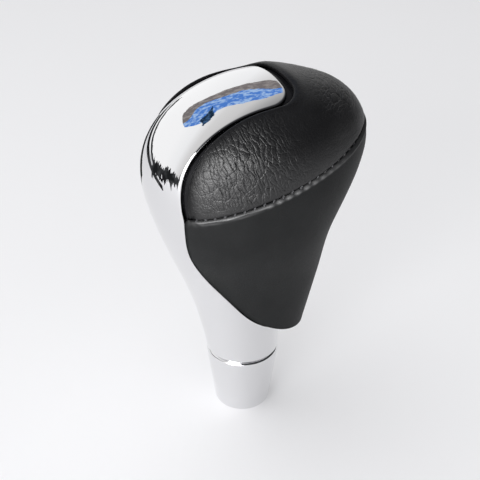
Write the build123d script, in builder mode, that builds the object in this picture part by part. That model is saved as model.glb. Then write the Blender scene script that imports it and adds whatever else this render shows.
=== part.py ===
from build123d import *
import os
from math import cos, radians, sin, sqrt, tan

os.makedirs("parts", exist_ok=True)

# Driving sizes in millimetres and degrees. Z runs up the lever thread from the collar's lower face,
# the plated front faces -Y and the heel of the leather grip points to +Y.
knob_height = 98.0
head_width = 46.4
head_depth = 56.4
head_level = 77.7
head_shift = 3.3
head_lean = 4.8
crown_shift = 9.9
joint_level = 19.0
neck_radius = 10.0

# Middle rings of the neck: their share of the way from the joint to the head, and their reach from
# the thread axis to the front, to the sides and to the rear. The rear has two reaches, one for the
# plated neck and one for the leather grip, whose heel overhangs the neck.
ring_share = (0.06, 0.153, 0.324, 0.494, 0.664)
front_reach = (10.6, 11.8, 14.6, 18.6, 22.6)
side_reach = (10.3, 11.0, 13.2, 16.6, 20.6)
nape_reach = (10.0, 10.2, 12.4, 17.6, 23.6)
heel_reach = (17.1, 18.4, 20.6, 22.3, 23.6)
heel_root_reach = 16.2
heel_swell = (0.4, 0.4, 0.4, 0.4, 0.0, 0.0)
dome_turns = (0, 15, 30, 45, 60, 72, 81, 86.5)

# The leather stands over the plated tongue: its dome is fuller at the shoulders, with a power below 1,
# and the plated dome's crown is sunk under it.
leather_shoulder = 0.9
tongue_sink = 0.8

# Plated tongue over the head, and the black rim that frames it
tongue_half_width = 13.6
tongue_taper = 0.055
tongue_end = 6.5
tongue_corner = 5.0
tongue_edge_round = 0.6
trim_wall = 2.0
neck_solid = 21.0
rim_side = 1.5
rim_end = 1.9
rim_sink = 0.7

# Leather: the seam plane rises to the rear, and the border below it is drawn from the side as
# (reach behind the thread axis, height over the joint)
leather = 1.6
leather_gap = 0.3
seam_level = 75.2
seam_rise = 18.3
seam_gap = 0.1
channel_half = 0.8
stitch_pitch = 2.4
stitch_slant = 38.0
border = ((-18.2, 36.2), (-10.0, 24.0), (-3.8, 16.4), (4.3, 10.4), (12.0, 7.2), (26.0, 6.0))

# Base collar, threaded insert and the posts that the core is pressed over
collar_foot_radius = 7.9
foot_round = 1.3
collar_bevel = 0.8
collar_lip = 2.0
joint_gap = 0.25
spigot_radius = 6.4
thread_minor_radius = 3.4
insert_radius = 4.9
insert_groove = 0.6
insert_length = 25.0
thread_runout = 2.0
post_radius = 1.6
post_length = 8.0
post_spread = 4.0
post_drop = 6.0
post_play = 0.1
seat_play = 0.05

# Lofted form of the head and neck: elliptical rings up to a sheared half ellipsoid, drawn in by inset


def ring(y, z, lean, half_width, half_depth):
    tilt = Plane(origin=(0, y, z), x_dir=(1, 0, 0), z_dir=(0, sin(radians(lean)), cos(radians(lean))))
    with BuildSketch(tilt) as outline:
        Ellipse(half_width, half_depth)
    return outline.sketch.face()


def knob_form(root_rear, rear_reach, swell, shoulder, sink, inset):
    rings = []
    shares = (0.0, *ring_share)
    fronts = (neck_radius, *front_reach)
    rears = (root_rear, *rear_reach)
    sides = (neck_radius, *side_reach)
    for order, (share, front, rear, side) in enumerate(zip(shares, fronts, rears, sides)):
        level = joint_level + share * (head_level - joint_level)
        lean = head_lean * (order / len(shares)) ** 2
        half_width = side + swell * heel_swell[order] - inset
        rings.append(ring((rear - front) / 2, level, lean, half_width, (front + rear) / 2 - inset))
    lean_drop = head_depth / 2 * sin(radians(head_lean))
    crown_level = head_level + sqrt((knob_height - head_level) ** 2 - lean_drop**2) - sink - inset
    for turn in dome_turns:
        rise = sin(radians(turn))
        spread = cos(radians(turn)) ** shoulder
        shift = head_shift + (crown_shift - head_shift) * rise
        level = head_level + (crown_level - head_level) * rise
        rings.append(
            ring(shift, level, head_lean, (head_width / 2 - inset) * spread, (head_depth / 2 - inset) * spread)
        )
    with BuildPart() as form:
        loft(sections=[*rings, Vertex(0, crown_shift, crown_level)])
    return form.part


def trim_form(inset):
    return knob_form(neck_radius, nape_reach, 0, 1, tongue_sink, inset)


def grip_form(inset):
    return knob_form(heel_root_reach, heel_reach, 1, leather_shoulder, 0, inset)


trim_skin = trim_form(0)
grip_skin = grip_form(0)

# The tongue's side meets the seam plane on the skin at the seam corner.
seam_plane = Plane(
    origin=(0, 0, seam_level),
    x_dir=(1, 0, 0),
    z_dir=(0, -sin(radians(seam_rise)), cos(radians(seam_rise))),
)
tongue_front_half = tongue_half_width - tongue_taper * head_depth
seam_front_level = seam_level - tan(radians(seam_rise)) * head_depth
side_line = Edge.make_line((tongue_front_half, -head_depth, seam_front_level), (tongue_half_width, 0, seam_level))
seam_corner = (side_line & trim_skin).vertices().sort_by(Axis.Y)[0]
corner_y = seam_corner.Y
corner_level = seam_corner.Z

# Zones that part the plated front from the leather, each widened by the gaps asked for


def tongue_prism(side, end):
    front_half = tongue_front_half + side
    rear_half = tongue_half_width + side
    rear = tongue_end + end
    with BuildPart() as prism:
        with BuildSketch(Plane.XY.offset(corner_level)):
            with BuildLine():
                Polyline(
                    (-front_half, -head_depth),
                    (-rear_half, 0),
                    (-rear_half, rear),
                    (rear_half, rear),
                    (rear_half, 0),
                    (front_half, -head_depth),
                    close=True,
                )
            outline = make_face()
            fillet(outline.vertices().group_by(Axis.Y)[-1], tongue_corner + side)
        extrude(amount=knob_height)
    return prism.part


def front_block(gap):
    # the border falls at about 50 degrees, so a shift along this direction opens the gap evenly
    aside = gap * sin(radians(40))
    up = gap * cos(radians(40))
    with BuildPart() as block:
        with BuildSketch(Plane.YZ):
            with BuildLine():
                points = [(corner_y, corner_level)] + [(y, joint_level + height) for y, height in border]
                edge = Spline(*[(y + aside, z + up) for y, z in points])
                Polyline(
                    edge @ 1,
                    ((edge @ 1).X, -joint_level),
                    (-2 * head_depth, -joint_level),
                    (-2 * head_depth, corner_level),
                    edge @ 0,
                )
            make_face()
        extrude(amount=head_width, both=True)
    return block.part


def trim_zone(side, end, gap):
    with BuildPart() as zone:
        add(tongue_prism(side, end))
        add(front_block(gap))
    return zone.part


def post_rods(radius, length):
    with BuildPart() as rods:
        with BuildSketch(Plane.XZ.offset(-corner_y - length)):
            with GridLocations(2 * post_spread, 1, 2, 1), Locations((0, corner_level - post_drop)):
                Circle(radius)
        extrude(amount=head_depth)
    return rods.part


# Threaded insert: a knurled bush moulded into the neck, its mouth level with the collar's lower face
knurl_length = insert_length * 0.4
with BuildPart() as insert_blank:
    with BuildSketch(Plane.XY, Plane.XY.offset(insert_length - knurl_length)):
        RegularPolygon(insert_radius, 24)
    extrude(amount=knurl_length)
    with BuildSketch(Plane.XY):
        Circle(insert_radius - insert_groove)
    extrude(amount=insert_length)

with BuildPart() as threaded_insert:
    add(insert_blank.part)
    with BuildSketch(Plane.XY):
        Circle(thread_minor_radius)
    extrude(amount=insert_length, mode=Mode.SUBTRACT)

threaded_insert.part.label = "threaded_insert"
export_step(threaded_insert.part, "parts/threaded_insert.step")

# Base collar: a tapered plated ring on the neck's spigot, its lip round the insert
collar_top = joint_level - joint_gap
lip_hole = insert_radius + seat_play
with BuildPart() as base_collar:
    with BuildSketch(Plane.XZ):
        with BuildLine():
            Polyline(
                (collar_foot_radius - foot_round, 0),
                (lip_hole, 0),
                (lip_hole, collar_lip),
                (spigot_radius, collar_lip),
                (spigot_radius, collar_top),
                (neck_radius - collar_bevel, collar_top),
                (neck_radius, collar_top - collar_bevel),
                (collar_foot_radius, foot_round),
            )
            RadiusArc((collar_foot_radius, foot_round), (collar_foot_radius - foot_round, 0), foot_round)
        make_face()
    revolve(axis=Axis.Z)

base_collar.part.label = "base_collar"
export_step(base_collar.part, "parts/base_collar.step")

# Plated trim: neck with its spigot, front and tongue in one moulding
cavity_floor = Plane.XY.offset(joint_level + neck_solid)
with BuildPart() as trim_cavity:
    add(trim_form(trim_wall))
    split(bisect_by=cavity_floor, keep=Keep.TOP)

with BuildPart() as posts:
    add(post_rods(post_radius, post_length))
    add(trim_form(trim_wall / 2), mode=Mode.INTERSECT)

skin_shell = trim_skin.shells()[0]
with BuildPart() as chrome_trim:
    add(trim_skin)
    add(trim_cavity.part, mode=Mode.SUBTRACT)
    add(trim_zone(0, 0, 0), mode=Mode.INTERSECT)
    upper_edges = chrome_trim.edges().filter_by(lambda edge: (edge @ 0.5).Z > corner_level)
    fillet(upper_edges.filter_by(lambda edge: Vertex(edge @ 0.5).distance_to(skin_shell) < 0.01), tongue_edge_round)
    with BuildSketch(Plane.XY.offset(collar_lip + seat_play)):
        Circle(spigot_radius - seat_play)
    extrude(amount=joint_level - collar_lip)
    add(insert_blank.part, mode=Mode.SUBTRACT)
    with BuildSketch(Plane.XY.offset(insert_length)):
        Circle(thread_minor_radius)
    extrude(amount=thread_runout, mode=Mode.SUBTRACT)
    add(posts.part)

chrome_trim.part.label = "chrome_trim"
export_step(chrome_trim.part, "parts/chrome_trim.step")

# Core of the grip: carries the leather, backs the trim and frames the tongue with a raised rim
core_bay = trim_zone(rim_side, rim_end, seat_play)
with BuildPart() as core_front:
    add(trim_form(trim_wall + seat_play))
    split(bisect_by=cavity_floor.offset(seat_play), keep=Keep.TOP)
    add(core_bay, mode=Mode.INTERSECT)

with BuildPart() as core_rim:
    add(trim_form(rim_sink))
    add(tongue_prism(rim_side, rim_end), mode=Mode.INTERSECT)
    add(tongue_prism(seat_play, seat_play), mode=Mode.SUBTRACT)

with BuildPart() as grip_core:
    add(grip_form(leather + seat_play))
    add(core_bay, mode=Mode.SUBTRACT)
    add(core_front.part)
    add(core_rim.part)
    add(post_rods(post_radius + post_play, post_length + post_play), mode=Mode.SUBTRACT)

grip_core.part.label = "grip_core"
export_step(grip_core.part, "parts/grip_core.step")

# Leather wrap, cut in two panels at the seam, with a channel along the seam for the stitches
recess_form = grip_form(rim_sink)
with BuildPart() as seam_channel:
    with BuildSketch(seam_plane) as seam_sheet:
        Rectangle(3 * head_width, 3 * head_depth)
    extrude(amount=channel_half, both=True)
    add(recess_form, mode=Mode.SUBTRACT)

with BuildPart() as leather_wrap:
    add(grip_skin)
    add(grip_form(leather), mode=Mode.SUBTRACT)
    add(trim_zone(rim_side + seat_play, rim_end + seat_play, leather_gap), mode=Mode.SUBTRACT)

with BuildPart() as upper_leather:
    add(leather_wrap.part)
    split(bisect_by=seam_plane.offset(seam_gap / 2), keep=Keep.TOP)
    add(seam_channel.part, mode=Mode.SUBTRACT)

upper_leather.part.label = "upper_leather"
export_step(upper_leather.part, "parts/upper_leather.step")

with BuildPart() as lower_leather:
    add(leather_wrap.part)
    split(bisect_by=seam_plane.offset(-seam_gap / 2), keep=Keep.BOTTOM)
    add(seam_channel.part, mode=Mode.SUBTRACT)

lower_leather.part.label = "lower_leather"
export_step(lower_leather.part, "parts/lower_leather.step")

# Stitches: slanted bars on the channel's floor, laid out evenly from the rear centre
seam_line = (seam_sheet.sketch.face() & recess_form).face().outer_wire()
channel_floor = recess_form.faces().sort_by(SortBy.AREA)[-1]
rear_share = max((step / 720 for step in range(720)), key=lambda share: (seam_line @ share).Y)
stitch_planes = []
for count in range(round(seam_line.length / stitch_pitch)):
    share = (rear_share + (count + 0.5) * stitch_pitch / seam_line.length) % 1
    spot = seam_line @ share
    if spot.Y < 0 and abs(spot.X) < tongue_half_width + rim_side + stitch_pitch / 2:
        continue
    along = seam_line % share
    outward = channel_floor.normal_at(spot)
    lay = outward.cross(along) * cos(radians(stitch_slant)) + along * sin(radians(stitch_slant))
    stitch_planes.append(Plane(origin=spot + outward * seat_play, x_dir=lay, z_dir=outward))

stitch_width = channel_half * 0.85
stitch_length = stitch_width + (2 * channel_half - stitch_width - 2 * seat_play) * cos(radians(stitch_slant))
with BuildPart() as seam_stitches:
    with BuildSketch(*stitch_planes) as stitch_outlines:
        Rectangle(stitch_length, stitch_width)
        chamfer(stitch_outlines.vertices(), stitch_width / 4)
    extrude(amount=rim_sink - 2 * seat_play)

seam_stitches.part.label = "seam_stitches"
export_step(seam_stitches.part, "parts/seam_stitches.step")
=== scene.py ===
from math import cos, pi, radians, sin, sqrt, tan

import bmesh
import bpy
import numpy as np
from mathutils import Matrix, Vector, noise
from mathutils.bvhtree import BVHTree
from mathutils.kdtree import KDTree


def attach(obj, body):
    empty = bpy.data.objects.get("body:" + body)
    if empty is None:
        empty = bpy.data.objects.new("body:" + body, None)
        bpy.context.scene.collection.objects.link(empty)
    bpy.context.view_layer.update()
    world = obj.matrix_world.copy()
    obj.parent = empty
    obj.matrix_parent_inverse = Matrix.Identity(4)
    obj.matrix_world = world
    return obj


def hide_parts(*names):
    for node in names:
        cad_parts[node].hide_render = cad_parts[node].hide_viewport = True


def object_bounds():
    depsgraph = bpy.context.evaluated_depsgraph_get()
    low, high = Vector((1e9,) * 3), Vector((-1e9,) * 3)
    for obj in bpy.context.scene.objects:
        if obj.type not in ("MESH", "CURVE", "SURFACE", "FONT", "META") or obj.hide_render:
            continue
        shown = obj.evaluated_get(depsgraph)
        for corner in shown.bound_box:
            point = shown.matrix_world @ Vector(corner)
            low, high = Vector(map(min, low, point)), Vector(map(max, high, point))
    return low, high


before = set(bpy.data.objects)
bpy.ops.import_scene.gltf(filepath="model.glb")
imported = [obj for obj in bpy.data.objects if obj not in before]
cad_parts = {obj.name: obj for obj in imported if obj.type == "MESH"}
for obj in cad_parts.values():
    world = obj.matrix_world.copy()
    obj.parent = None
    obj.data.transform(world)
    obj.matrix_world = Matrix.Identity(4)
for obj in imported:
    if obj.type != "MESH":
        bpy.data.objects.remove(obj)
cad_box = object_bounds()

# Sizes in millimetres and degrees. They are those of the CAD nodes, apart from the groove, which ends
# where the leather's folded edge laps over its rim, and the rounds of the plated edges. Z runs up the
# lever thread, the plated front faces -Y and the heel of the leather grip points to +Y.
MM = 0.001

# Rings of the lofted form, from the neck's joint up, and its dome
KNOB_HEIGHT = cad_box[1][2] / MM
HEAD_WIDTH = 46.4
HEAD_DEPTH = 56.4
HEAD_LEVEL = 77.7
HEAD_SHIFT = 3.3
HEAD_LEAN = 4.8
CROWN_SHIFT = 9.9
JOINT_LEVEL = 19.0
JOINT_GAP = 0.25
NECK_RADIUS = 10.0
RING_SHARE = (0.06, 0.153, 0.324, 0.494, 0.664)
FRONT_REACH = (10.6, 11.8, 14.6, 18.6, 22.6)
SIDE_REACH = (10.3, 11.0, 13.2, 16.6, 20.6)
NAPE_REACH = (10.0, 10.2, 12.4, 17.6, 23.6)
HEEL_REACH = (17.1, 18.4, 20.6, 22.3, 23.6)
HEEL_ROOT_REACH = 16.2
HEEL_SWELL = (0.4, 0.4, 0.4, 0.4, 0.0, 0.0)
DOME_TURNS = (0, 15, 30, 45, 60, 72, 81, 86.5, 90)
LEATHER_SHOULDER = 0.9
TONGUE_SINK = 0.8

# Tongue, groove, seam, stitches and the leather's lower border
TONGUE_HALF_WIDTH = 13.6
TONGUE_TAPER = 0.055
TONGUE_END = 6.5
TONGUE_CORNER = 5.0
TONGUE_ROUND = 0.5
TONGUE_AXIS = (4.0, 66.0)
TONGUE_REACH = 20.0
TONGUE_ANGLES = (-0.05, radians(96))
RIM_SIDE = 1.25
RIM_END = 1.95
SEAM_LEVEL = 75.2
SEAM_RISE = tan(radians(18.3))
SEAM_GAP = 0.05
STITCH_PITCH = 2.4
STITCH_SLANT = radians(38)
FIRST_STITCH = 1.6
BORDER = ((-18.2, 36.2), (-10.0, 24.0), (-3.8, 16.4), (4.3, 10.4), (12.0, 7.2), (26.0, 6.0))
BORDER_SLOPE = radians(40)
BORDER_GAP = 0.05
BORDER_ROUND = 0.25

# Neck, collar and threaded insert
SEAT_PLAY = 0.05
SPIGOT_RADIUS = 6.35
COLLAR_LIP = 2.0
COLLAR_TOP = JOINT_LEVEL - JOINT_GAP
COLLAR_FOOT_RADIUS = 7.9
THREAD_MINOR = 3.4
THREAD_MAJOR = 4.0
THREAD_PITCH = 1.25
INSERT_LENGTH = 25.0
INSERT_RADIUS = 4.9
TINY = 1e-12


# Lines


def spline(knots, rows):
    """Natural cubic spline through the rows at the knots, as a function of the parameter."""
    step = np.diff(knots)
    system = np.eye(len(knots))
    pull = np.zeros_like(rows)
    for i in range(1, len(knots) - 1):
        system[i, i - 1 : i + 2] = step[i - 1], 2 * (step[i - 1] + step[i]), step[i]
        pull[i] = 6 * ((rows[i + 1] - rows[i]) / step[i] - (rows[i] - rows[i - 1]) / step[i - 1])
    bend = np.linalg.solve(system, pull)

    def at(t):
        t = np.asarray(t, float)
        i = np.clip(np.searchsorted(knots, t, side="right") - 1, 0, len(knots) - 2)
        h = step[i][..., None]
        a = (knots[i + 1] - t)[..., None] / h
        b = 1 - a
        return a * rows[i] + b * rows[i + 1] + ((a**3 - a) * bend[i] + (b**3 - b) * bend[i + 1]) * h**2 / 6

    return at


def arc(centre, radius, start, stop, count):
    """Points of an arc between two angles in degrees."""
    angles = np.radians(np.linspace(start, stop, count))
    return [(centre[0] + radius * cos(a), centre[1] + radius * sin(a)) for a in angles]


def run_length(points):
    """Length along a polyline at each of its points."""
    return np.concatenate([[0], np.cumsum(np.linalg.norm(np.diff(points, axis=0), axis=1))])


def along(points, lengths, run=None):
    """Points at the given lengths along a polyline, or along the run that is given for its points."""
    run = run_length(points) if run is None else run
    return np.stack([np.interp(lengths, run, points[:, k]) for k in range(points.shape[1])], -1)


EDGE_STEPS = np.array((0, 0.02, 0.06, 0.12, 0.2, 0.3, 0.42, 0.58, 0.8, 1.1))
EDGE_SHARE = 0.3


def graded(length, count, both=False):
    """Distances along a line of that length, close together at its start, and at its end if both."""
    fine = EDGE_STEPS * min(1, EDGE_SHARE * length / EDGE_STEPS[-1])
    if not both:
        return np.concatenate([fine, np.linspace(fine[-1], length, count + 1)[1:]])
    middle = np.linspace(fine[-1], length - fine[-1], count + 1)[1:-1]
    return np.concatenate([fine, middle, length - fine[::-1]])


def spaced(line, count):
    """Points along a line, close together at its ends."""
    return along(line, graded(run_length(line)[-1], count, both=True))


def bell(value, middle, width):
    return np.exp(-(((value - middle) / width) ** 2))


def fade_in(value, start, stop, floor=0.0):
    """0 at start to 1 at stop, held beyond them, and never under the floor."""
    return np.clip((value - start) / (stop - start), floor, 1)


# The knob's skin


class Skin:
    """The lofted form: ellipses from the neck to the crown. v runs up it and turn goes round it, from -90
    degrees at the front over the +X side to 90 degrees at the rear."""

    FINE_STEPS = 2000
    PLACE_ROUNDS = 30
    SEARCH_SHARES = (0.3, 0.97)
    HALVINGS = 50
    TREE_SHARES = (0.35, 1.0)
    TREE_ROWS = 330
    TREE_COLUMNS = 480

    def __init__(self, root_rear, rear_reach, swell, shoulder, sink):
        rows = []
        shares = (0.0, *RING_SHARE)
        fronts = (NECK_RADIUS, *FRONT_REACH)
        rears = (root_rear, *rear_reach)
        sides = (NECK_RADIUS, *SIDE_REACH)
        for order, (share, front, rear, side) in enumerate(zip(shares, fronts, rears, sides)):
            level = JOINT_LEVEL + share * (HEAD_LEVEL - JOINT_LEVEL)
            lean = radians(HEAD_LEAN * (order / len(shares)) ** 2)
            half = (front + rear) / 2
            width = side + swell * HEEL_SWELL[order]
            rows.append(((rear - front) / 2, level, width, half * cos(lean), -half * sin(lean)))
        lean = radians(HEAD_LEAN)
        crown_rise = sqrt((KNOB_HEIGHT - HEAD_LEVEL) ** 2 - (HEAD_DEPTH / 2 * sin(lean)) ** 2) - sink
        for turn in DOME_TURNS:
            rise = sin(radians(turn))
            spread = cos(radians(turn)) ** shoulder
            half = HEAD_DEPTH / 2 * spread
            shift = HEAD_SHIFT + (CROWN_SHIFT - HEAD_SHIFT) * rise
            level = HEAD_LEVEL + crown_rise * rise
            rows.append((shift, level, HEAD_WIDTH / 2 * spread, half * cos(lean), -half * sin(lean)))
        rows = np.array(rows)
        knots = run_length(rows[:, :3])
        self.top = knots[-1]
        self.ring = spline(knots, rows)
        self.fine_v = np.linspace(0, self.top, self.FINE_STEPS)
        self.fine_level = self.parts(self.fine_v)[1]
        self.tree = self.make_tree()

    def parts(self, v):
        """Shift, level, half width, half depth and the rear's tilt of the ellipses at v."""
        return np.moveaxis(self.ring(v), -1, 0)

    def at(self, v, turn):
        shift, level, width, depth, tilt = self.parts(v)
        side = np.sin(turn)
        return np.stack([width * np.cos(turn), shift + depth * side, level + tilt * side], -1)

    def place(self, y, z):
        """v and the sine of the turn for points of the skin given from the side."""
        v = np.interp(z, self.fine_level, self.fine_v)
        for _ in range(self.PLACE_ROUNDS):
            shift, _, _, depth, tilt = self.parts(v)
            side = np.clip((y - shift) / np.maximum(depth, TINY), -1, 1)
            v = np.interp(z - tilt * side, self.fine_level, self.fine_v)
        shift, _, _, depth, _ = self.parts(v)
        return v, (y - shift) / depth

    def rise_to(self, turn, over):
        """v at which the function over, of points, turns positive on each meridian."""
        low, high = (np.full_like(turn, share * self.top) for share in self.SEARCH_SHARES)
        for _ in range(self.HALVINGS):
            middle = (low + high) / 2
            above = over(self.at(middle, turn)) > 0
            high = np.where(above, middle, high)
            low = np.where(above, low, middle)
        return low

    def make_tree(self):
        v = np.linspace(*self.TREE_SHARES, self.TREE_ROWS) * self.top
        turns = np.radians(np.linspace(0, 360, self.TREE_COLUMNS, endpoint=False))
        points = self.at(np.repeat(v[:, None], len(turns), 1), np.repeat(turns[None], len(v), 0))
        index = np.arange(points[..., 0].size).reshape(points.shape[:2])
        after = np.roll(index, -1, axis=1)
        quads = np.stack([index[:-1], after[:-1], after[1:], index[1:]], -1).reshape(-1, 4)
        return BVHTree.FromPolygons(points.reshape(-1, 3).tolist(), quads.tolist())

    def hit(self, origin, direction):
        """The skin's point seen from origin along direction."""
        found = self.tree.ray_cast(Vector(origin), Vector(direction).normalized())[0]
        if found is None:
            raise ValueError(f"no skin from {origin} along {direction}")
        return np.array(found)


trim_skin = Skin(NECK_RADIUS, NAPE_REACH, swell=0, shoulder=1, sink=TONGUE_SINK)
grip_skin = Skin(HEEL_ROOT_REACH, HEEL_REACH, swell=1, shoulder=LEATHER_SHOULDER, sink=0)


# Lines on the skin, as points or as rows of (v, turn)

CORNER_TURNS = (-80, -20)
CORNER_STEPS = 1200
BORDER_STEPS = 3000
SEAM_STEPS = 1500
TONGUE_STEPS = 400
END_STEPS = 60
ACROSS_ROUNDS = 4


def tongue_half(y, side=0.0):
    return TONGUE_HALF_WIDTH + side - TONGUE_TAPER * np.maximum(-y, 0)


def over_seam(points):
    return points[..., 2] - SEAM_LEVEL - SEAM_RISE * points[..., 1]


def seam_corner(skin, side, lift):
    """v and turn at which the tongue's side, set out by side, crosses the seam, moved up by lift."""
    turn = np.radians(np.linspace(*CORNER_TURNS, CORNER_STEPS))
    v = skin.rise_to(turn, lambda points: over_seam(points) - lift)
    points = skin.at(v, turn)
    outside = points[:, 0] - tongue_half(points[:, 1], side)
    return np.interp(0, outside, v), np.interp(0, outside, turn)


CORNER = trim_skin.at(*seam_corner(trim_skin, 0.0, 0.0))


def seam_line(lift):
    """The seam on the grip's skin as (v, turn), from the seam corner to the rear centre."""
    _, corner_turn = seam_corner(grip_skin, RIM_SIDE, lift)
    turn = np.linspace(corner_turn, pi / 2, SEAM_STEPS)
    return np.stack([grip_skin.rise_to(turn, lambda points: over_seam(points) - lift), turn], -1)


def border_line(skin, gap):
    """The leather's lower border on the skin as (v, turn), from the rear centre to the seam corner."""
    points = [(CORNER[1], CORNER[2])] + [(y, JOINT_LEVEL + height) for y, height in BORDER]
    points = np.array(points) + gap * np.array((sin(BORDER_SLOPE), cos(BORDER_SLOPE)))
    knots = run_length(points)
    side_view = spline(knots, points)(np.linspace(0, knots[-1], BORDER_STEPS))
    v, side = skin.place(side_view[:, 0], side_view[:, 1])
    inside = np.argmax(side >= 1) or len(side)
    line = np.stack([v[:inside], np.arcsin(np.clip(side[:inside], -1, 1))], -1)
    line[-1, 1] = pi / 2
    return line[::-1]


def across(skin, angle, share, side=0.0):
    """Point of the tongue at an angle round its cross axis and a share of its half width."""
    direction = (0, -cos(angle), sin(angle))
    y = TONGUE_AXIS[0] - TONGUE_REACH * cos(angle)
    for _ in range(ACROSS_ROUNDS):
        x = share * float(tongue_half(y, side))
        point = skin.hit((x, *TONGUE_AXIS), direction)
        y = point[1]
    return point


def tongue_line(skin, side, end, start):
    """The tongue's outline on the skin, set out by side and end: from the level start up its side, round
    its corner and on to the middle."""
    half = TONGUE_HALF_WIDTH + side
    radius = TONGUE_CORNER + side
    rear = TONGUE_END + end
    line = []
    for angle in np.linspace(*TONGUE_ANGLES, TONGUE_STEPS):
        point = across(skin, angle, 1.0, side)
        past_side = point[1] > rear - radius and point[2] > HEAD_LEVEL
        if point[2] >= start and not past_side:
            line.append(point)
    plan = arc((half - radius, rear - radius), radius, 0, 90, END_STEPS)
    plan += [(x, rear) for x in np.linspace(half - radius, 0, END_STEPS)[1:]]
    line += [skin.hit((*spot, 2 * KNOB_HEIGHT), (0, 0, -1)) for spot in plan]
    return np.array(line)


# Mesh building

MERGE = 0.004
NO_EDGE = 1e-8
REACH_STEP = 0.05


def add_object(name, data):
    """A new object in the scene."""
    item = bpy.data.objects.new(name, data)
    bpy.context.scene.collection.objects.link(item)
    return item


class Piece:
    """Grids of points in millimetres, gathered into one smooth mesh that rides on the frame."""

    def __init__(self, name):
        self.name = name
        self.points = []
        self.marks = []
        self.faces = []

    def grid(self, rows, closed=False, flip=False, marks=None):
        """Adds rows of points. marks give each point its panel coordinates and its edge value."""
        rows = np.asarray(rows, float)
        count, width = rows.shape[:2]
        start = sum(len(p) for p in self.points)
        index = start + np.arange(count * width).reshape(count, width)
        after = np.roll(index, -1, axis=1) if closed else index[:, 1:]
        here = index if closed else index[:, :-1]
        quads = np.stack([here[:-1], after[:-1], after[1:], here[1:]], -1).reshape(-1, 4)
        self.points.append(rows.reshape(-1, 3))
        self.marks.append(np.zeros((count * width, 4)) if marks is None else np.reshape(marks, (-1, 4)))
        self.faces.append(quads[:, ::-1] if flip else quads)

    def both_sides(self, rows, closed=False, flip=False):
        """A grid of the +X half and its mirror image."""
        self.grid(rows, closed=closed, flip=flip)
        self.grid(np.asarray(rows) * (-1, 1, 1), closed=closed, flip=not flip)

    def make(self, material, node, merge=MERGE):
        mesh = bpy.data.meshes.new(self.name)
        points = np.concatenate(self.points) * MM
        mesh.from_pydata(points.tolist(), [], np.concatenate(self.faces).tolist())
        marks = np.concatenate(self.marks)
        if marks.any():
            panel = mesh.attributes.new("panel", "FLOAT_VECTOR", "POINT")
            panel.data.foreach_set("vector", marks[:, :3].ravel())
            edge = mesh.attributes.new("edge", "FLOAT", "POINT")
            edge.data.foreach_set("value", marks[:, 3])
        shape = bmesh.new()
        shape.from_mesh(mesh)
        bmesh.ops.remove_doubles(shape, verts=shape.verts, dist=merge * MM)
        bmesh.ops.dissolve_degenerate(shape, edges=shape.edges, dist=NO_EDGE)
        shape.to_mesh(mesh)
        shape.free()
        mesh.shade_smooth()
        piece = add_object(self.name, mesh)
        mesh.materials.append(material)
        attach(piece, "root")
        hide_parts(node)
        return piece


def unit(vectors):
    return vectors / np.maximum(np.linalg.norm(vectors, axis=-1, keepdims=True), TINY)


def grid_normals(rows):
    """Unit normals of a grid, outward where columns run to +X and rows run up the front."""
    return unit(np.cross(np.gradient(rows, axis=1), np.gradient(rows, axis=0)))


def from_axis(points):
    """Unit vectors from the lever's axis out to the points."""
    return unit(points * (1, 1, 0))


def reach(points, line):
    """Distance of each point from a polyline, and the length along it of the nearest spot."""
    run = run_length(line)
    dense = along(line, np.linspace(0, run[-1], int(run[-1] / REACH_STEP)))
    tree = KDTree(len(dense))
    for i, p in enumerate(dense):
        tree.insert(p, i)
    tree.balance()
    flat = points.reshape(-1, 3)
    near = np.clip([tree.find(p)[1] for p in flat], 1, len(dense) - 2)
    best = np.full(len(flat), np.inf)
    spot = np.zeros(len(flat))
    for start in (near - 1, near):
        leg = dense[start + 1] - dense[start]
        share = np.clip(((flat - dense[start]) * leg).sum(1) / (leg**2).sum(1), 0, 1)
        distance = np.linalg.norm(flat - dense[start] - share[:, None] * leg, axis=1)
        spot = np.where(distance < best, start + share, spot)
        best = np.minimum(best, distance)
    shape = points.shape[:-1]
    return best.reshape(shape), spot.reshape(shape) * run[-1] / (len(dense) - 1)


def rolled(distance, radius):
    """Depth of a rounded edge at a distance from it."""
    inner = np.clip(radius - distance, 0, radius)
    return radius - np.sqrt(radius**2 - inner**2)


def skirt(rim, normals, depths):
    """Rows of a wall that goes in from a rim."""
    return [rim - normals * depth for depth in depths]


# Materials

BLACK = (0, 0, 0)
WHITE = (1, 1, 1)


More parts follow.
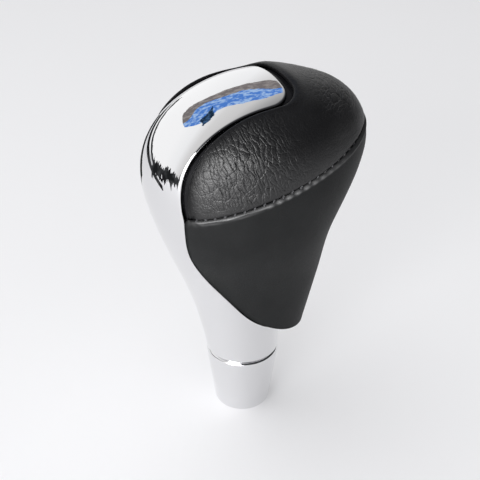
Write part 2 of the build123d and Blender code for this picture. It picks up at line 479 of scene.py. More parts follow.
class Look:
    """The nodes of a material or a world, with the steps that the looks here are made of."""

    def __init__(self, owner):
        owner.use_nodes = True
        self.owner = owner
        self.nodes = owner.node_tree.nodes
        self.links = owner.node_tree.links

    @property
    def shader(self):
        return self.nodes["Principled BSDF"]

    def set(self, socket, value):
        """Sets one of the shader's sockets."""
        self.shader.inputs[socket].default_value = value

    def feed(self, socket, output):
        """Links an output to one of the shader's sockets."""
        self.links.new(output, self.shader.inputs[socket])

    def texture(self, kind, scale, vector=None, **settings):
        """The outputs of a procedural texture, on object coordinates in metres unless a vector is given."""
        if vector is None:
            vector = self.nodes.new("ShaderNodeTexCoord").outputs["Object"]
        texture = self.nodes.new(f"ShaderNodeTex{kind}")
        texture.inputs["Scale"].default_value = scale
        for name, value in settings.items():
            if name in texture.inputs:
                texture.inputs[name].default_value = value
            else:
                setattr(texture, name, value)
        self.links.new(vector, texture.inputs["Vector"])
        return texture.outputs

    def attribute(self, name):
        """The outputs of one of the mesh's attributes."""
        node = self.nodes.new("ShaderNodeAttribute")
        node.attribute_name = name
        return node.outputs

    def ramp(self, source, stops):
        """Colour ramp on a value: stops are (position, colour)."""
        node = self.nodes.new("ShaderNodeValToRGB")
        elements = node.color_ramp.elements
        while len(elements) < len(stops):
            elements.new(0.5)
        for element, (position, color) in zip(elements, stops):
            element.position = position
            element.color = (*color, 1)
        self.links.new(source, node.inputs["Fac"])
        return node.outputs["Color"]

    def spread(self, source, low, high, start=0.0, stop=1.0):
        """Maps a value from start..stop to low..high."""
        node = self.nodes.new("ShaderNodeMapRange")
        for name, value in (("From Min", start), ("From Max", stop), ("To Min", low), ("To Max", high)):
            node.inputs[name].default_value = value
        self.links.new(source, node.inputs["Value"])
        return node.outputs["Result"]

    def math(self, operation, first, second):
        node = self.nodes.new("ShaderNodeMath")
        node.operation = operation
        self.links.new(first, node.inputs[0])
        self.links.new(second, node.inputs[1])
        return node.outputs["Value"]

    def mixed(self, share, color, other):
        """The colour output turned to the other colour by a share."""
        node = self.nodes.new("ShaderNodeMix")
        node.data_type = "RGBA"
        first, second = [socket for socket in node.inputs if socket.type == "RGBA"]
        second.default_value = (*other, 1)
        self.links.new(share, node.inputs["Factor"])
        self.links.new(color, first)
        return next(socket for socket in node.outputs if socket.type == "RGBA")

    def bump(self, height, strength, depth):
        """Adds a bump, its depth in metres, on top of the earlier ones."""
        node = self.nodes.new("ShaderNodeBump")
        node.inputs["Strength"].default_value = strength
        node.inputs["Distance"].default_value = depth
        self.links.new(height, node.inputs["Height"])
        for link in self.shader.inputs["Normal"].links:
            self.links.new(link.from_socket, node.inputs["Normal"])
        self.feed("Normal", node.outputs["Normal"])


def new_look(name, color, roughness, metallic=0.0):
    look = Look(bpy.data.materials.new(name))
    look.set("Base Color", (*color, 1))
    look.set("Roughness", roughness)
    look.set("Metallic", metallic)
    return look


CHROME_COLOR = (0.78, 0.78, 0.79)


def chrome(name, roughness):
    """Plating with faint smudges and a slight ripple."""
    look = new_look(name, CHROME_COLOR, roughness, metallic=1.0)
    smudges = look.texture("Noise", scale=90, Detail=3.0)["Fac"]
    look.feed("Roughness", look.spread(smudges, low=0.6 * roughness, high=1.6 * roughness))
    ripple = look.texture("Noise", scale=140, Detail=1.0)["Fac"]
    look.bump(ripple, strength=0.02, depth=0.0002)
    return look.owner


PLASTIC_COLOR = (0.008, 0.008, 0.009)
DUST_COLOR = (0.04, 0.04, 0.04)


def gloss_plastic(name):
    """Black plastic with specks of dust and a slight haze."""
    look = new_look(name, PLASTIC_COLOR, roughness=0.2)
    look.set("Specular IOR Level", 0.08)
    dust = look.texture("Voronoi", scale=900)["Distance"]
    look.feed("Base Color", look.ramp(dust, ((0.05, DUST_COLOR), (0.09, PLASTIC_COLOR))))
    haze = look.texture("Noise", scale=300, Detail=3.0)["Fac"]
    look.feed("Roughness", look.spread(haze, low=0.12, high=0.3))
    look.bump(haze, strength=0.05, depth=0.0002)
    return look.owner


# Creases as the size of a cell along the seam and away from it in millimetres, the marks between which
# they come in, and their depth in metres
CREASES = (
    ((1.2, 5.0), (0.1, 1.0), 0.00009),
    ((2.6, 2.8), (0.0, 0.7), 0.000065),
    ((4.5, 1.2), (0.0, -1.0), 0.0001),
)
CREASE_STOPS = ((0.0, BLACK), (0.08, (0.62, 0.62, 0.62)), (0.3, WHITE))
CREASE_DRIFT = (2.5, 2.5, 0)


def add_creases(look, panel, mark):
    """Bumps of creases on the panel's coordinates. The mark says how strongly the leather is creased,
    below zero where the creases run along the seam."""
    drift = look.texture("Noise", scale=0.28, vector=panel)["Color"]
    bent = look.nodes.new("ShaderNodeVectorMath")
    bent.operation = "MULTIPLY_ADD"
    bent.inputs[1].default_value = CREASE_DRIFT
    look.links.new(drift, bent.inputs[0])
    look.links.new(panel, bent.inputs[2])
    for cell, (start, stop), depth in CREASES:
        mapping = look.nodes.new("ShaderNodeMapping")
        mapping.inputs["Scale"].default_value = (1 / cell[0], 1 / cell[1], 1)
        look.links.new(bent.outputs["Vector"], mapping.inputs["Vector"])
        place = mapping.outputs["Vector"]
        cells = look.texture("Voronoi", 1.0, place, voronoi_dimensions="2D", feature="DISTANCE_TO_EDGE")
        weight = look.spread(mark, low=0.0, high=1.0, start=start, stop=stop)
        height = look.math("MULTIPLY", look.ramp(cells["Distance"], CREASE_STOPS), weight)
        look.bump(height, strength=1.0, depth=depth)


WORN_SHINE = 0.8
# Painted highlight: the lighter colour that the smooth panel's lip is mixed towards
LIP_HIGHLIGHT_COLOR = (0.12, 0.12, 0.122)
PORE_ROUGHNESS = 0.1


def leather(name, dark, light, roughness, grain, shine, creased):
    """Grained leather whose shine fades by the edge value. The mark in the panel's coordinates says where
    it is creased or, on a smooth panel, where it is worn shinier and lightened in colour as a painted
    highlight."""
    look = new_look(name, dark, roughness)
    patches = look.texture("Noise", scale=120, Detail=4.0)["Fac"]
    color = look.ramp(patches, ((0.3, dark), (0.75, light)))
    gloss = look.spread(look.attribute("edge")["Fac"], low=0.0, high=shine)
    panel = look.attribute("panel")["Vector"]
    parts = look.nodes.new("ShaderNodeSeparateXYZ")
    look.links.new(panel, parts.inputs["Vector"])
    mark = parts.outputs["Z"]
    if creased:
        add_creases(look, panel, mark)
    else:
        # Painted highlight: the marked lip is mixed towards a lighter colour, besides the shine of wear added
        # below
        color = look.mixed(mark, color, LIP_HIGHLIGHT_COLOR)
        gloss = look.math("ADD", gloss, look.spread(mark, low=0.0, high=WORN_SHINE))
    look.feed("Base Color", color)
    look.feed("Specular IOR Level", gloss)
    cells = look.texture("Voronoi", scale=1500, feature="DISTANCE_TO_EDGE")["Distance"]
    pebble = look.ramp(cells, ((0.0, BLACK), (0.22, WHITE)))
    pores = look.texture("Noise", scale=2600, Detail=3.0)["Fac"]
    look.feed("Roughness", look.spread(pores, roughness - PORE_ROUGHNESS, roughness + PORE_ROUGHNESS))
    look.bump(pebble, strength=grain, depth=0.0001)
    look.bump(pores, strength=grain, depth=0.00006)
    return look.owner


THREAD_COLOR = (0.03, 0.03, 0.032)
THREAD_STOPS = ((0.2, (0.02, 0.02, 0.022)), (0.9, (0.075, 0.075, 0.08)))


def thread(name):
    """Dark sewing thread with fibres."""
    look = new_look(name, THREAD_COLOR, roughness=0.75)
    fibres = look.texture("Wave", scale=1800, Distortion=2.0)["Fac"]
    look.feed("Base Color", look.ramp(fibres, THREAD_STOPS))
    look.bump(fibres, strength=0.5, depth=0.0001)
    return look.owner


BRASS_COLOR = (0.78, 0.6, 0.3)
BRASS_STOPS = ((0.3, (0.62, 0.44, 0.2)), (0.7, (0.82, 0.64, 0.34)))


def brass(name):
    """Machined brass, slightly tarnished."""
    look = new_look(name, BRASS_COLOR, roughness=0.3, metallic=1.0)
    tarnish = look.texture("Noise", scale=350, Detail=4.0)["Fac"]
    look.feed("Base Color", look.ramp(tarnish, BRASS_STOPS))
    look.feed("Roughness", look.spread(tarnish, low=0.22, high=0.42))
    look.bump(tarnish, strength=0.1, depth=0.0001)
    return look.owner


# Plated trim: sleeve of the neck, front between the borders, and the tongue. Its rows are dense lines of
# points from the middle of the front to the trim's edge.

TRIM_SHARES = np.linspace(0, 1, 240)
TRIM_COLUMNS = 44
SLEEVE_ROWS = 12
SLEEVE_SHARES = (0.94, 0.97)
FRONT_ROWS = 110
TONGUE_ROWS = 88
TONGUE_LENGTH = 56.0
TONGUE_BLEND = 4.0
SLEEVE_ROUND = 0.45
SLEEVE_SEAT = 8.0
SPIGOT_FOOT = COLLAR_LIP + SEAT_PLAY
TRIM_SKIRT = (0, 0.3, 0.8, 1.4)


def sleeve_rows(top):
    """Rows round the neck, up to just below v = top."""
    levels = np.append(graded(SLEEVE_SHARES[0] * top, SLEEVE_ROWS), SLEEVE_SHARES[1] * top)
    return [trim_skin.at(np.full_like(TRIM_SHARES, v), pi * TRIM_SHARES - pi / 2) for v in levels]


def front_rows(border):
    """Rows between the borders, from the border's rear centre up to the seam corner."""
    run = run_length(trim_skin.at(*border.T))
    fine_v = trim_skin.fine_v
    front_level = trim_skin.at(fine_v, np.full_like(fine_v, -pi / 2))[:, 2]
    rising = slice(0, int(np.argmax(front_level)))
    low = trim_skin.at(border[0, 0], -pi / 2)[2]
    rows = []
    for share in np.linspace(0, 1, FRONT_ROWS):
        edge_v, edge_turn = along(border, share * run[-1], run)
        level = low + share * (CORNER[2] - low)
        front_v = np.interp(level, front_level[rising], fine_v[rising])
        turn = TRIM_SHARES * (edge_turn + pi / 2) - pi / 2
        rows.append(trim_skin.at(front_v + (edge_v - front_v) * TRIM_SHARES**2, turn))
    return rows


def tongue_place(points):
    """Angle round the tongue's cross axis and share of its half width, for points on it."""
    angle = np.arctan2(points[:, 2] - TONGUE_AXIS[1], TONGUE_AXIS[0] - points[:, 1])
    return angle, points[:, 0] / tongue_half(points[:, 1])


def tongue_rows(last):
    """Rows up the tongue, from the front's last row to the tongue's end."""
    angle, share = tongue_place(last)
    start = np.interp(TRIM_SHARES, share / share[-1], angle)
    outline = tongue_line(trim_skin, 0.0, 0.0, CORNER[2])
    outline = outline[np.argmax(outline[:, 1] > TONGUE_END - TONGUE_CORNER) - 1 :]
    angle, share = tongue_place(outline)
    stop = np.interp(TRIM_SHARES, share[::-1], angle[::-1])
    rows = []
    for lift in 1 - graded(TONGUE_LENGTH, TONGUE_ROWS)[::-1][1:] / TONGUE_LENGTH:
        angles = start + lift * (stop - start)
        rows.append(np.array([across(trim_skin, a, s) for a, s in zip(angles, TRIM_SHARES)]))
    return rows


def build_trim(material):
    border = border_line(trim_skin, 0.0)
    sleeve = sleeve_rows(border[0, 0])
    face = front_rows(border)
    face += tongue_rows(face[-1])
    edge = np.array([row[-1] for row in face] + list(face[-1][::-1]))
    grid = []
    for row in sleeve + face:
        length = run_length(row)[-1]
        grid.append(along(row, length - graded(length, TRIM_COLUMNS)[::-1]))
    grid = np.array(grid)
    normal = grid_normals(grid)
    on_tongue = fade_in(grid[..., 2], CORNER[2], CORNER[2] + TONGUE_BLEND)
    depth = rolled(reach(grid, edge)[0], BORDER_ROUND + (TONGUE_ROUND - BORDER_ROUND) * on_tongue)
    foot = rolled(np.linalg.norm(grid - grid[0], axis=-1), SLEEVE_ROUND)
    shaped = grid - normal * depth[..., None] - from_axis(grid) * foot[..., None]
    piece = Piece("plated_trim")
    piece.both_sides(shaped)
    start = len(sleeve)
    rim = np.concatenate([shaped[start:, -1], shaped[-1, -2::-1]])
    rim_normal = np.concatenate([normal[start:, -1], normal[-1, -2::-1]])
    piece.both_sides(skirt(rim, rim_normal, TRIM_SKIRT), flip=True)
    ring = np.concatenate([shaped[0], shaped[0, -2:0:-1] * (-1, 1, 1)])
    outward = from_axis(ring)
    steps = ((SLEEVE_SEAT, JOINT_LEVEL), (SPIGOT_RADIUS, JOINT_LEVEL), (SPIGOT_RADIUS, SPIGOT_FOOT))
    foot_rows = [ring] + [outward * radius + (0, 0, level) for radius, level in steps]
    piece.grid(foot_rows, closed=True, flip=True)
    return piece.make(material, "chrome_trim")


# Leather panels. The seam closes over its stitches between two lengths along it, from its corner.

SEAM_OPEN = 30.0
SEAM_CLOSED = 46.0
PULL_WIDTH = 0.9
SWELL_FADE = 4.0
PANEL_SKIRT = (0, 0.25, 0.6)
SEED_STEP = 17.3


def hills(points, size, seed):
    """Smooth noise at points, about -1 to 1, with features of that size in millimetres."""
    spots = points.reshape(-1, 3) / size + seed * SEED_STEP
    return np.array([noise.noise(p) for p in spots]).reshape(points.shape[:-1])


def swells(points, waves):
    """Sum of hills, each given as height, size and seed."""
    return sum(height * hills(points, size, seed) for height, size, seed in waves)


def creases(coordinates, size, seed, width):
    """Narrow irregular grooves, 0 on open ground to 1 at the bottom of a groove."""
    return np.clip(1 - np.abs(hills(coordinates, size, seed)) / width, 0, 1) ** 1.5


def stitch_beat(seam_run):
    """How hard the stitches pull along the seam, 0 to 1, until it closes over them."""
    beat = 0.5 + 0.5 * np.cos(2 * pi * (seam_run - FIRST_STITCH) / STITCH_PITCH)
    return beat * fade_in(seam_run, SEAM_CLOSED, SEAM_OPEN)


def stitch_pull(seam_run, from_seam):
    """How far the stitches draw the leather in beside the seam, 0 to 1."""
    return stitch_beat(seam_run) * bell(from_seam, 0, PULL_WIDTH)


def build_panel(piece, grid, seam, edge, form):
    """Both halves of a panel from a grid of the +X half, between the seam and the panel's other edge.
    form gives the depth below the grip's skin, the mark and the edge value."""
    normal = grid_normals(grid)
    from_seam, seam_run = reach(grid, seam)
    from_edge, _ = reach(grid, edge)
    for mirror in (1, -1):
        shown = grid * (mirror, 1, 1)
        out = normal * (mirror, 1, 1)
        depth, mark, edge_value = form(shown, seam_run * mirror, from_seam, from_edge)
        shaped = shown - out * depth[..., None]
        marks = np.stack([seam_run * mirror, from_seam, mark, edge_value], -1)
        piece.grid(shaped, flip=mirror < 0, marks=marks)
        for end, flip in ((0, mirror > 0), (-1, mirror < 0)):
            piece.grid(skirt(shaped[end], out[end], PANEL_SKIRT), flip=flip)


# Lower panel: a lip along the seam, worn shiny and lightened by a painted highlight between the stitches

LOWER_COLUMNS = 130
LOWER_ROWS = 110
LOWER_STEPS = 200
LOWER_SINK = 0.08
LOWER_PULL = 0.35
LOWER_SWELLS = ((0.08, 14, 1), (0.02, 4, 2))
BORDER_FOLD = 0.4
LIP_FOLD = 0.45
LIP_HEIGHT = 0.3
LIP_START = 4.0
# Where the lip's wear and painted highlight start, and how much less of them there is at each stitch
WEAR_AND_HIGHLIGHT_START = 2.0
WEAR_AND_HIGHLIGHT_STITCH_DIP = 0.9
DULL_EDGE = 1.0


def lower_grid(border, seam):
    """Points of the +X half on the grip's skin, its columns going from the border up to the seam."""
    border_run = run_length(grip_skin.at(*border.T))
    seam_run = run_length(grip_skin.at(*seam.T))
    shares = np.linspace(0, 1, LOWER_STEPS)
    columns = []
    for share in graded(1.0, LOWER_COLUMNS)[1:]:
        foot = along(border, share * border_run[-1], border_run)[:, None]
        head = along(seam, share * seam_run[-1], seam_run)[:, None]
        line = grip_skin.at(*(foot + shares * (head - foot)))
        columns.append(spaced(line, LOWER_ROWS))
    return np.stack(columns, axis=1)


def lower_form(points, signed_run, from_seam, from_edge):
    seam_run = np.abs(signed_run)
    lip = LIP_HEIGHT * bell(from_seam, middle=0.6, width=0.4) * fade_in(seam_run, 0, LIP_START)
    swell = swells(points, LOWER_SWELLS) * fade_in(from_edge, 0, SWELL_FADE)
    folds = rolled(from_edge, BORDER_FOLD) + rolled(from_seam, LIP_FOLD)
    depth = folds + LOWER_PULL * stitch_pull(seam_run, from_seam) - lip - swell + LOWER_SINK
    # Wear and painted highlight along the lip: brighter between the stitches, fading where the seam closes
    wear_and_highlight = bell(from_seam, middle=0.5, width=0.45) * (1 - WEAR_AND_HIGHLIGHT_STITCH_DIP * stitch_beat(seam_run))
    wear_and_highlight *= fade_in(seam_run, SEAM_CLOSED, SEAM_OPEN, floor=0.12)
    wear_and_highlight *= fade_in(seam_run, 0, WEAR_AND_HIGHLIGHT_START, floor=0.15)
    return depth, wear_and_highlight, fade_in(from_edge, 0, DULL_EDGE)


def build_lower_leather(material):
    border = border_line(grip_skin, BORDER_GAP)[::-1]
    seam = seam_line(-SEAM_GAP)
    border = border[np.argmax(over_seam(grip_skin.at(*border.T)) < -SEAM_GAP) :]
    border[0] = seam[0]
    piece = Piece("lower_leather_panel")
    grid = lower_grid(border, seam)
    build_panel(piece, grid, grip_skin.at(*seam.T), grip_skin.at(*border.T), lower_form)
    return piece.make(material, "lower_leather")


# Upper panel: creased at the front of its sides and at the top of the rear, folded in at the groove

UPPER_COLUMNS = 190
UPPER_ROWS = 80
UPPER_STEPS = 90
UPPER_MIDDLE = np.array((0, 5.0, 72.0))
UPPER_PULL = 0.2
UPPER_SWELLS = ((0.12, 12, 9), (0.04, 3.5, 10))
SEAM_FOLD = 0.9
RIM_FOLD = 0.5
REAR_FOLD = 0.15
REAR_FOLD_SPREAD = 1.6
DULL_RIM = 3.0
FRONT_WRINKLE = 0.035
REAR_WRINKLE = 0.06
WARP = ((1.2, 7, 5),)
UPRIGHT_STRETCH = (1, 0.2, 1)
REAR_STRETCH = (0.3, 0.9, 1)
CELL_SLANT = 0.8
CELL_STRETCH = 0.35
CELL_RISE = 0.5

# Where the creases of the rear top come in, and where the fold widens behind the tongue
REAR_TOP_Y = (10, 18)
REAR_TOP_LEVELS = (88, 92)
BEHIND_TONGUE_Y = (3, 7)

# How far the leather is settled, or raised where that is below zero, as depth, middle and width along Y
SETTLED = ((0.5, 18.5, 6.5), (-0.6, -10, 12), (-0.2, 30, 3))
SETTLED_LEVELS = (77, 85)


def upper_grid(seam, rim):
    """Points of the +X half on the grip's skin, its columns going from the seam up to the groove's rim."""
    seam_length = run_length(seam)[-1]
    rim_length = run_length(rim)[-1]
    shares = np.linspace(0, 1, UPPER_STEPS)
    columns = []
    for share in graded(1.0, UPPER_COLUMNS)[1:]:
        foot = unit(along(seam, share * seam_length) - UPPER_MIDDLE)
        head = unit(along(rim, share * rim_length) - UPPER_MIDDLE)
        angle = np.arccos(np.clip(foot @ head, -1, 1))
        rays = [sin((1 - t) * angle) * foot + sin(t * angle) * head for t in shares]
        line = np.array([grip_skin.hit(UPPER_MIDDLE, ray) for ray in rays])
        columns.append(spaced(line, UPPER_ROWS))
    return np.stack(columns, axis=1)


def upper_wrinkles(points, signed_run, from_seam, front_side, rear_top):
    """Depth of the creases: upright ones and slanted cells at the front, and cross ones at the rear."""
    field = np.stack([signed_run, from_seam, np.zeros_like(from_seam)], -1)
    field[..., 0] += swells(field, WARP)
    upright = creases(field * UPRIGHT_STRETCH, size=1.5, seed=6, width=0.32)
    slanted = field.copy()
    slanted[..., 0] += CELL_SLANT * from_seam
    slanted[..., 1] = CELL_STRETCH * (from_seam - CELL_RISE * np.abs(signed_run))
    cells = creases(slanted, size=1.6, seed=7, width=0.28)
    rear = creases(points * REAR_STRETCH, size=1.4, seed=8, width=0.3)
    return FRONT_WRINKLE * (upright + cells) * front_side + REAR_WRINKLE * rear * rear_top


def upper_form(points, signed_run, from_seam, from_edge):
    seam_run = np.abs(signed_run)
    y, z = points[..., 1], points[..., 2]
    front_side = bell(seam_run, middle=17, width=14) * fade_in(from_seam, 0, 2.5) * fade_in(from_edge, 0, 1.5)
    rear_top = fade_in(y, *REAR_TOP_Y) * fade_in(z, *REAR_TOP_LEVELS)
    settled = sum(depth * bell(y, middle, width) for depth, middle, width in SETTLED)
    settled *= fade_in(z, *SETTLED_LEVELS)
    behind = fade_in(y, *BEHIND_TONGUE_Y)
    fold = rolled(from_edge / (1 + REAR_FOLD_SPREAD * behind), RIM_FOLD + REAR_FOLD * behind)
    depth = rolled(from_seam, SEAM_FOLD) + fold + settled
    depth += upper_wrinkles(points, signed_run, from_seam, front_side, rear_top)
    depth += UPPER_PULL * stitch_pull(seam_run, from_seam)
    depth -= swells(points, UPPER_SWELLS) * fade_in(from_edge, 0, SWELL_FADE)
    return depth, front_side - rear_top, fade_in(from_edge, 0, DULL_RIM, floor=0.25)


def build_upper_leather(material):
    seam = grip_skin.at(*seam_line(SEAM_GAP).T)
    rim = tongue_line(grip_skin, RIM_SIDE, RIM_END, seam[0][2])
    rim[0] = seam[0]
    piece = Piece("upper_leather_panel")
    build_panel(piece, upper_grid(seam, rim), seam, rim, upper_form)
    return piece.make(material, "upper_leather")


# Stitches: slanted thread bars across the seam, their ends sunk into needle holes

STITCH_STEP = 0.2
STITCH_HALF = 0.8
STITCH_RADIUS = 0.24
STITCH_DEPTH = 0.45
STITCH_END_DEPTH = 0.4
STITCH_SUNK = 0.3
STITCH_RINGS = 9
STITCH_SIDES = 10
STITCH_MERGE = 0.0001


def build_stitches(material):
    seam = seam_line(0.0)
    line = grip_skin.at(*seam.T)
    run = run_length(line)
    sides = np.linspace(0, 2 * pi, STITCH_SIDES, endpoint=False)
    piece = Piece("seam_thread")
    for spot in np.arange(FIRST_STITCH, run[-1], STITCH_PITCH):
        here = along(line, spot)
        ahead = unit(along(line, spot + STITCH_STEP) - along(line, spot - STITCH_STEP))
        v, turn = along(seam, spot, run)
        up = grip_skin.at(v + STITCH_STEP, turn) - grip_skin.at(v - STITCH_STEP, turn)
        up = unit(up - ahead * (up @ ahead))
        out = np.cross(ahead, up)
        lay = up * cos(STITCH_SLANT) + ahead * sin(STITCH_SLANT)
        beside = np.cross(lay, out)
        sunk = STITCH_DEPTH + STITCH_SUNK * fade_in(spot, SEAM_OPEN, SEAM_CLOSED)
        rings = []
        for t in np.linspace(-1, 1, STITCH_RINGS):
            centre = here + lay * (STITCH_HALF * t) - out * (sunk + STITCH_END_DEPTH * t**4)
            rings.append([centre + (out * sin(a) + beside * cos(a)) * STITCH_RADIUS for a in sides])
        piece.both_sides(rings, closed=True)
    return piece.make(material, "seam_stitches", merge=STITCH_MERGE)


# Base collar and threaded insert, turned about the lever's axis

COLLAR_BORE = SPIGOT_RADIUS + SEAT_PLAY
COLLAR_SEGMENTS = 128
COLLAR_WALL_TOP = 17.6
COLLAR_FOOT_ROUND = 1.3
COLLAR_BROW_ROUND = 0.9
COLLAR_BROW_TURNS = (5, 90)
ROUND_STEPS = 12
COLLAR_WALL_STEPS = 20
LIP_HOLE = INSERT_RADIUS + SEAT_PLAY
LIP_BEVEL = 0.15
INSERT_SEGMENTS = 64
INSERT_SHOWN = 6.0
INSERT_BEVEL = 0.3
THREAD_MOUTH = 0.2
THREAD_START = 0.4
THREAD_ROWS = 10


def lathe(profile, segments):
    """Rows of points for a profile of (radius, level), turned about the axis."""
    turns = np.linspace(0, 2 * pi, segments, endpoint=False)
    return [[(r * cos(a), r * sin(a), z) for a in turns] for r, z in profile]


def build_collar(material):
    profile = [(COLLAR_BORE, COLLAR_LIP), (LIP_HOLE, COLLAR_LIP)]
    profile += [(LIP_HOLE, LIP_BEVEL), (LIP_HOLE + LIP_BEVEL, 0)]
    foot_centre = (COLLAR_FOOT_RADIUS - COLLAR_FOOT_ROUND, COLLAR_FOOT_ROUND)
    profile += arc(foot_centre, COLLAR_FOOT_ROUND, -90, 0, ROUND_STEPS)
    wall_ends = ((COLLAR_FOOT_RADIUS, COLLAR_FOOT_ROUND), (NECK_RADIUS, COLLAR_WALL_TOP))
    profile += np.linspace(*wall_ends, COLLAR_WALL_STEPS)[1:].tolist()
    brow_centre = (NECK_RADIUS - COLLAR_BROW_ROUND, COLLAR_TOP - COLLAR_BROW_ROUND)
    profile += arc(brow_centre, COLLAR_BROW_ROUND, *COLLAR_BROW_TURNS, ROUND_STEPS)
    profile.append((COLLAR_BORE, COLLAR_TOP))
    piece = Piece("plated_collar")
    piece.grid(lathe(profile, COLLAR_SEGMENTS), closed=True)
    return piece.make(material, "base_collar")


def build_insert(material):
    """The bush as far as it shows, and the thread as a helix of its real pitch."""
    profile = [(INSERT_RADIUS, INSERT_SHOWN), (INSERT_RADIUS, INSERT_BEVEL)]
    profile += [(INSERT_RADIUS - INSERT_BEVEL, 0), (THREAD_MAJOR + THREAD_MOUTH, 0)]
    rows = lathe(profile, INSERT_SEGMENTS)
    turns = np.linspace(0, 2 * pi, INSERT_SEGMENTS, endpoint=False)
    for z in np.arange(THREAD_START, INSERT_LENGTH, THREAD_PITCH / THREAD_ROWS):
        cycle = (z / THREAD_PITCH - turns / (2 * pi)) % 1
        radius = THREAD_MINOR + (THREAD_MAJOR - THREAD_MINOR) * np.abs(2 * cycle - 1)
        row = np.stack([radius * np.cos(turns), radius * np.sin(turns), np.full_like(turns, z)], -1)
        rows.append(row.tolist())
    piece = Piece("threaded_bush")
    piece.grid(rows, closed=True, flip=True)
    return piece.make(material, "threaded_insert")


build_trim(chrome("mirror_chrome", roughness=0.03))
grained_leather = leather(
    "grained_leather",
    dark=(0.0045, 0.0045, 0.005),
    light=(0.0075, 0.0075, 0.008),
    roughness=0.42,
    grain=0.25,
    shine=0.52,
    creased=True,
)
upper_panel = build_upper_leather(grained_leather)
smooth_leather = leather(
    "smooth_leather",
    dark=(0.008, 0.0084, 0.0088),
    light=(0.0115, 0.012, 0.0124),
    roughness=0.55,
    grain=0.12,
    shine=0.14,
    creased=False,
)
lower_panel = build_lower_leather(smooth_leather)
build_stitches(thread("sewing_thread"))
build_collar(chrome("satin_chrome", roughness=0.16))
build_insert(brass("machined_brass"))
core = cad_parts["grip_core"]
core.data.materials.clear()
core.data.materials.append(gloss_plastic("gloss_black"))


# Studio, in metres: pale floor, a white room that is dim on the camera's side, and two soft lights

FLOOR_REACH = 8.0
FLOOR_COLOR = (0.55, 0.55, 0.56)
FLOOR_GLOW_COLOR = (0.98, 0.98, 1.0)


def build_floor():
    mesh = bpy.data.meshes.new("floor")
    corners = [(x * FLOOR_REACH, y * FLOOR_REACH, 0) for x, y in ((-1, -1), (1, -1), (1, 1), (-1, 1))]
    mesh.from_pydata(corners, [], [(0, 1, 2, 3)])
    floor = add_object("floor", mesh)
    look = new_look("pale_floor", FLOOR_COLOR, roughness=0.7)
    look.set("Specular IOR Level", 0.2)
    look.set("Emission Color", (*FLOOR_GLOW_COLOR, 1))
    look.set("Emission Strength", 0.32)
    mesh.materials.append(look.owner)


BRIGHT_SIDE = (-0.85, -0.5, 0.1)
ROOM_GLOW = 1.13
ROOM_STOPS = (
    (0.3, (0.027, 0.027, 0.03)),
    (0.45, (0.12, 0.12, 0.126)),
    (0.56, (0.42, 0.42, 0.42)),
    (0.63, (0.64, 0.635, 0.63)),
    (0.72, (0.72, 0.715, 0.71)),
    (0.79, (0.93, 0.935, 0.94)),
    (0.9, WHITE),
)


def build_room():
    world = bpy.data.worlds.new("room")
    bpy.context.scene.world = world
    look = Look(world)
    coordinates = look.nodes.new("ShaderNodeTexCoord")
    facing = look.nodes.new("ShaderNodeVectorMath")
    facing.operation = "DOT_PRODUCT"
    facing.inputs[1].default_value = BRIGHT_SIDE
    look.links.new(coordinates.outputs["Generated"], facing.inputs[0])
    share = look.spread(facing.outputs["Value"], low=0.0, high=1.0, start=-1.0)
    background = look.nodes["Background"]
    look.links.new(look.ramp(share, ROOM_STOPS), background.inputs["Color"])
    background.inputs["Strength"].default_value = ROOM_GLOW


def direction(turn, rise):
    """Unit vector at a turn from -Y to +X and a rise, in degrees."""
    turn = radians(turn)
    rise = radians(rise)
    return Vector((cos(rise) * sin(turn), -cos(rise) * cos(turn), sin(rise)))


def add_area(name, place, aim, size, power, glossy):
    light = bpy.data.lights.new(name, "AREA")
    light.shape = "DISK"
    light.size = size
    light.energy = power
    lamp = add_object(name, light)
    lamp.location = place
    lamp.rotation_euler = (Vector(aim) - Vector(place)).to_track_quat("-Z", "Y").to_euler()
    lamp.visible_glossy = glossy


# Cards of the studio that only show in reflections. Their edges are spots of (turn, rise) in degrees, seen
# from the place on the plating that mirrors them, and their colours are the two of a mottle.

FRONT_MIRROR = (5.0, -23.5, 80.0)
TOP_MIRROR = (7.0, -5.0, 95.0)
FRONT_DISTANCE = 0.2
FLAG_DISTANCE = 0.15
FIGURE_DISTANCE = 0.8
SKY_DISTANCE = 0.9
MOTTLE_STOPS = (0.45, 0.62)
DARK_CARD = ((0.015, 0.016, 0.017), (0.06, 0.062, 0.065))
BROWN_CARD = ((0.21, 0.19, 0.19), (0.36, 0.33, 0.32))
SKY_CARD = ((0.09, 0.25, 0.72), (0.42, 0.62, 0.95))
FIGURE_CARD = ((0.012, 0.03, 0.06), (0.05, 0.12, 0.25))

# The jagged dark band at the front, and the thin dark lines up its side
TREE_TURNS = (-44, 8)
TREE_STEPS = 140
WALL_SPOTS = ((-98, 0), (-77, -0.5), (-62, -2), (-52, -4.5), (-42, -8.5), (-32, -13), (-20, -20))
WALL_CARD_STEPS = 60
WALL_RISES = (-4.5, 1.5)
POST_RISE = 4.5

# The dark flag behind the knob that draws the plating's far outline
FLAG_EDGES = (
    ((-98, -5), (-93, -6), (-88, -9), (-83, -13), (-80, -18), (-80, -24)),
    ((-112, -20), (-110, -21), (-108, -22), (-106, -24), (-104, -26), (-104, -28)),
)

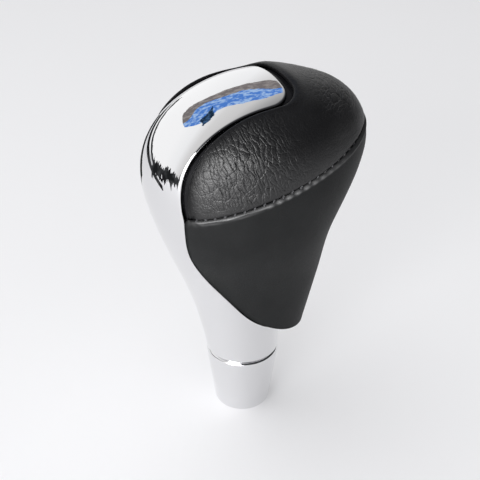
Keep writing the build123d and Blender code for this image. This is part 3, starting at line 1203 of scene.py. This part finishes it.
# The band that the tongue mirrors: its brown edge, the edge of the blue and the near edge, each from the
# front of the tongue to its end. Then the middle of the dark mark on it.
SKY_EDGES = (
    ((-66, 34), (-75, 34), (-81, 38), (-92, 42), (-105, 43), (-116, 42), (-121, 40), (-131, 44)),
    ((-52, 39), (-57, 44), (-73, 44), (-86, 51), (-102, 53), (-116, 54), (-127, 55), (-136, 51)),
    ((-44, 42), (-38, 54), (-47, 61), (-66, 64), (-91, 71), (-118, 71), (-134, 67), (-142, 57)),
)
FIGURE_SPOTS = ((-72, 55), (-55, 60), (-47, 59), (-38, 59), (-29, 57))
FIGURE_HALF = 4.5
FIGURE_TIP = 0.15
SMOOTH_STEPS = 120

# Unevenness of the ragged edges in degrees, coarse and fine, and of the smooth ones in steps
RAGGED_WIDTHS = (5.0, 1.5)
SMOOTH_WIDTH = 4.0
SMOOTH_SWING = 0.9


def add_card(name, edges, distance, colors, mirror):
    """A card between two edges, at a distance in metres from the spot, in millimetres, that mirrors it."""
    points = np.array([[(direction(*spot) * distance)[:] for spot in edge] for edge in edges])
    points += np.array(mirror) * MM
    width = points.shape[1]
    low = np.arange(width - 1)
    quads = np.stack([low, low + 1, low + 1 + width, low + width], -1)
    mesh = bpy.data.meshes.new(name)
    mesh.from_pydata(points.reshape(-1, 3).tolist(), [], quads.tolist())
    card = add_object(name, mesh)
    look = Look(bpy.data.materials.new(name))
    look.nodes.clear()
    glow = look.nodes.new("ShaderNodeEmission")
    mottle = look.texture("Noise", scale=22, Detail=2.0)["Fac"]
    look.links.new(look.ramp(mottle, tuple(zip(MOTTLE_STOPS, colors))), glow.inputs["Color"])
    output = look.nodes.new("ShaderNodeOutputMaterial")
    look.links.new(glow.outputs["Emission"], output.inputs["Surface"])
    mesh.materials.append(look.owner)
    for ray in ("camera", "diffuse", "shadow", "transmission"):
        setattr(card, f"visible_{ray}", False)


def add_strip(name, turns, low, high):
    """A dark card near the front, between two rises at each turn."""
    edges = [np.stack([turns, rises], -1) for rises in (low, high)]
    add_card(name, edges, FRONT_DISTANCE, DARK_CARD, FRONT_MIRROR)


def ragged(turns, middle, swing, seed):
    """An uneven edge round a rise in degrees, coarse and fine."""
    coarse, fine = RAGGED_WIDTHS
    uneven = [noise.noise((t / coarse, seed, 0.7)) + noise.noise((t / fine, seed, 0.2)) for t in turns]
    return middle + swing * np.array(uneven)


def smooth_edge(spots, seed):
    """A bent line through a few (turn, rise) spots, slightly uneven."""
    knots = np.arange(len(spots), dtype=float)
    line = spline(knots, np.array(spots, float))(np.linspace(0, knots[-1], SMOOTH_STEPS))
    line[:, 1] += [SMOOTH_SWING * noise.noise((i / SMOOTH_WIDTH, seed, 0.4)) for i in range(len(line))]
    return line


def build_front_cards():
    turns = np.linspace(*TREE_TURNS, TREE_STEPS)
    low = ragged(turns, middle=-13.0, swing=8.0, seed=8.3)
    high = np.maximum(ragged(turns, middle=3.0, swing=6.0, seed=0.3), low + 1)
    add_strip("tree_card", turns, low, high)
    spot_turns, spot_rises = np.transpose(WALL_SPOTS)
    turns = np.linspace(spot_turns[0], spot_turns[-1], WALL_CARD_STEPS)
    rises = np.interp(turns, spot_turns, spot_rises)
    add_strip("wall_card", turns, rises + WALL_RISES[0], rises + WALL_RISES[1])
    add_strip("post_card", turns, rises + POST_RISE, rises + ragged(turns, middle=8.5, swing=1.0, seed=6.3))
    add_card("flag_card", FLAG_EDGES, FLAG_DISTANCE, DARK_CARD, FRONT_MIRROR)


def build_top_cards():
    brown_top, blue_top, blue_low = (smooth_edge(edge, seed) for seed, edge in enumerate(SKY_EDGES))
    add_card("brown_card", (brown_top, blue_top), SKY_DISTANCE, BROWN_CARD, TOP_MIRROR)
    add_card("sky_card", (blue_top, blue_low), SKY_DISTANCE, SKY_CARD, TOP_MIRROR)
    middle = smooth_edge(FIGURE_SPOTS, len(SKY_EDGES))
    half = np.zeros_like(middle)
    half[:, 1] = FIGURE_HALF * np.sin(np.linspace(FIGURE_TIP, pi - FIGURE_TIP, len(middle))) ** 1.5
    add_card("figure_card", (middle - half, middle + half), FIGURE_DISTANCE, FIGURE_CARD, TOP_MIRROR)


# Camera at the photograph's angle, in degrees, millimetres and pixels

CAMERA_TURN = 65.16
CAMERA_RISE = 29.54
CAMERA_REACH = 205.74
CAMERA_AIM = (-0.27, -0.57, 52.1)
FOCAL_PIXELS = 779.39
IMAGE_PIXELS = 480
SENSOR = 36.0
CLIP_START = 0.01


def build_camera():
    lens = bpy.data.cameras.new("camera")
    lens.sensor_width = SENSOR
    lens.lens = FOCAL_PIXELS / IMAGE_PIXELS * SENSOR
    lens.clip_start = CLIP_START
    camera = add_object("camera", lens)
    away = direction(CAMERA_TURN, CAMERA_RISE)
    camera.location = (Vector(CAMERA_AIM) + CAMERA_REACH * away) * MM
    camera.rotation_euler = (-away).to_track_quat("-Z", "Y").to_euler()
    bpy.context.scene.camera = camera


SOFTBOX_AIM = Vector((0, 0, 0.08))
SOFTBOX_PLACE = direction(42, 3) * 0.8 + SOFTBOX_AIM

build_floor()
build_room()
build_front_cards()
build_top_cards()
add_area("ceiling", place=(-0.2, -0.2, 1.5), aim=(0, 0, 0), size=1.6, power=8.0, glossy=False)
add_area("low_softbox", place=SOFTBOX_PLACE, aim=SOFTBOX_AIM, size=0.6, power=13.0, glossy=True)
build_camera()
bpy.context.scene.view_settings.view_transform = "Standard"
